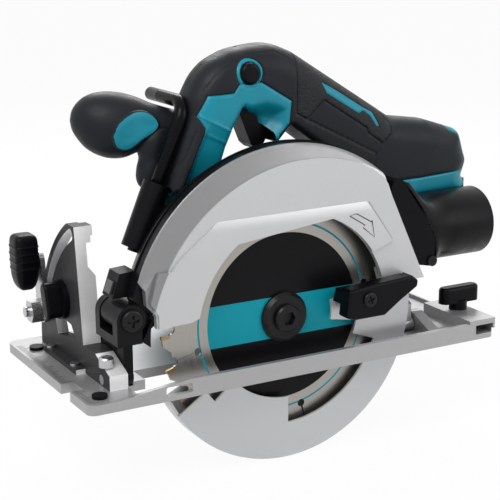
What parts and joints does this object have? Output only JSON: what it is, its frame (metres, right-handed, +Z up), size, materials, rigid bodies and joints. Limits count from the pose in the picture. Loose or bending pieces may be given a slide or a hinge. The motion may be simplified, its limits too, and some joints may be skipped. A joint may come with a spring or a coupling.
{
  "type": "cordless circular saw",
  "caption": "Cordless circular saw with the blade on the left, a loop handle with trigger, a round front grip, a tilting base with bevel quadrant, a sprung lower guard and a dust port.",
  "frame": {"origin": "under the spindle, in the plane of the blade, on the underside of the base", "axes": "+X from the nose to the tail, +Y from the blade side to the motor side, +Z up"},
  "size_m": [0.3047, 0.1448, 0.2524],
  "materials": {
    "silver_casting": "light silver paint on a casting, satin",
    "dark_casting": "black gloss paint on a casting",
    "bare_aluminium": "bare cast aluminium",
    "plated_steel": "zinc plated steel",
    "blade_steel": "ground saw steel",
    "carbide": "brazed carbide, bronze tint",
    "black_steel": "black oxide steel",
    "teal_plastic": "moulded teal plastic",
    "black_plastic": "moulded black plastic, fine texture",
    "black_rubber": "soft black overmould",
    "copper": "copper windings and contacts",
    "lens": "clear lamp lens"
  },
  "bodies": {
    "base": {"base_plate": "bare_aluminium", "bevel_quadrant": "bare_aluminium", "quadrant_screws": "plated_steel", "rail_adjusters": "black_plastic", "square_stop_bolt": "black_steel", "rear_pivot_bracket": "bare_aluminium", "bevel_pivot_pins": "plated_steel"},
    "tilt_frame": {"tilt_bracket": "dark_casting", "depth_pivot_pin": "plated_steel", "bevel_clamp_bolt": "plated_steel", "rear_tilt_bracket": "bare_aluminium", "depth_guide": "plated_steel", "guide_rivets": "plated_steel"},
    "saw_head": {"blade_case": "silver_casting", "gear_housing": "dark_casting", "guard_spring": "plated_steel", "motor_housing": "teal_plastic", "motor_end_cover": "black_plastic", "stator": "copper", "ball_bearings": "plated_steel", "handle_left": "teal_plastic", "handle_right": "teal_plastic", "grip_left": "black_rubber", "grip_right": "black_rubber", "switch_unit": "black_plastic", "front_grip": "black_rubber", "front_grip_inset": "teal_plastic", "hook_sleeve": "black_plastic", "dust_nozzle": "black_plastic", "lamp_housing": "black_plastic", "lamp_lens": "lens", "battery_holder": "black_plastic", "battery_rails": "black_plastic", "battery_terminals": "copper", "depth_clamp_bolt": "plated_steel", "housing_screws": "black_steel"},
    "blade_guard": {"lower_guard": "silver_casting", "guard_lever": "black_plastic", "guard_lever_screw": "black_steel"},
    "arbor": {"blade": "blade_steel", "carbide_tips": "carbide", "inner_flange": "black_steel", "outer_flange": "black_steel", "blade_bolt": "black_steel", "spindle": "plated_steel", "drive_gear": "plated_steel"},
    "motor_rotor": {"rotor": "plated_steel", "cooling_fan": "black_plastic"},
    "trigger": {"trigger": "black_plastic"},
    "lock_off": {"lock_off_button": "black_plastic"},
    "hanging_hook": {"hook": "black_steel"},
    "bevel_clamp": {"bevel_lever": "plated_steel", "bevel_lever_nut": "plated_steel", "bevel_lever_grip": "black_plastic"},
    "stop_dial": {"stop_dial": "black_plastic"},
    "depth_clamp": {"depth_lever": "black_plastic"},
    "shaft_lock": {"shaft_lock": "black_plastic"},
    "fence_screw": {"fence_wing_screw": "black_plastic"}
  },
  "joints": [
    {"name": "bevel_tilt", "type": "hinge", "parent": "base", "child": "tilt_frame", "pos_m": [0, 0.008, 0.0096], "axis": [1, 0, 0], "range_deg": [0, 48]},
    {"name": "depth_pivot", "type": "hinge", "parent": "tilt_frame", "child": "saw_head", "pos_m": [-0.106, 0, 0.049], "axis": [0, -1, 0], "range_deg": [0, 26]},
    {"name": "guard_swing", "type": "hinge", "parent": "saw_head", "child": "blade_guard", "pos_m": [0, 0, 0.032], "axis": [0, -1, 0], "range_deg": [0, 130], "stiffness_Nm_per_rad": 0.12, "springref_deg": -51.57},
    {"name": "blade_spin", "type": "hinge", "parent": "saw_head", "child": "arbor", "pos_m": [0, 0, 0.032], "axis": [0, 1, 0], "continuous": true},
    {"name": "rotor_spin", "type": "hinge", "parent": "saw_head", "child": "motor_rotor", "pos_m": [-0.008, 0.06, 0.05569], "axis": [0, 1, 0], "continuous": true},
    {"name": "trigger_pull", "type": "hinge", "parent": "saw_head", "child": "trigger", "pos_m": [-0.013, 0.03, 0.163], "axis": [0, -1, 0], "range_deg": [0, 9], "stiffness_Nm_per_rad": 1.5, "springref_deg": -2.86},
    {"name": "lock_off_press", "type": "slide", "parent": "saw_head", "child": "lock_off", "axis": [0, 1, 0], "range_m": [0, 0.003], "stiffness_N_per_m": 800, "springref_m": -0.001},
    {"name": "hook_swing", "type": "hinge", "parent": "saw_head", "child": "hanging_hook", "pos_m": [-0.088, 0.021, 0.0814], "axis": [0.3875, 0, 0.9219], "range_deg": [0, 180]},
    {"name": "bevel_lever_turn", "type": "hinge", "parent": "tilt_frame", "child": "bevel_clamp", "pos_m": [-0.12, 0.093, 0.03], "axis": [-1, 0, 0], "range_deg": [0, 60]},
    {"name": "stop_dial_turn", "type": "hinge", "parent": "base", "child": "stop_dial", "pos_m": [-0.12, 0.064, 0.044], "axis": [-1, 0, 0], "range_deg": [0, 120]},
    {"name": "depth_lever_turn", "type": "hinge", "parent": "saw_head", "child": "depth_clamp", "pos_m": [0.046, 0.0566, 0.05], "axis": [0, -1, 0], "range_deg": [0, 60]},
    {"name": "shaft_lock_press", "type": "slide", "parent": "saw_head", "child": "shaft_lock", "axis": [1, 0, 0], "range_m": [0, 0.003], "stiffness_N_per_m": 900, "springref_m": -0.001},
    {"name": "fence_screw_turn", "type": "hinge", "parent": "base", "child": "fence_screw", "pos_m": [0.1405, 0.008, 0.02], "axis": [0, 0, 1], "continuous": true}
  ],
  "couplings": [
    {"joint": "rotor_spin", "follows": "blade_spin", "ratio": -4}
  ]
}
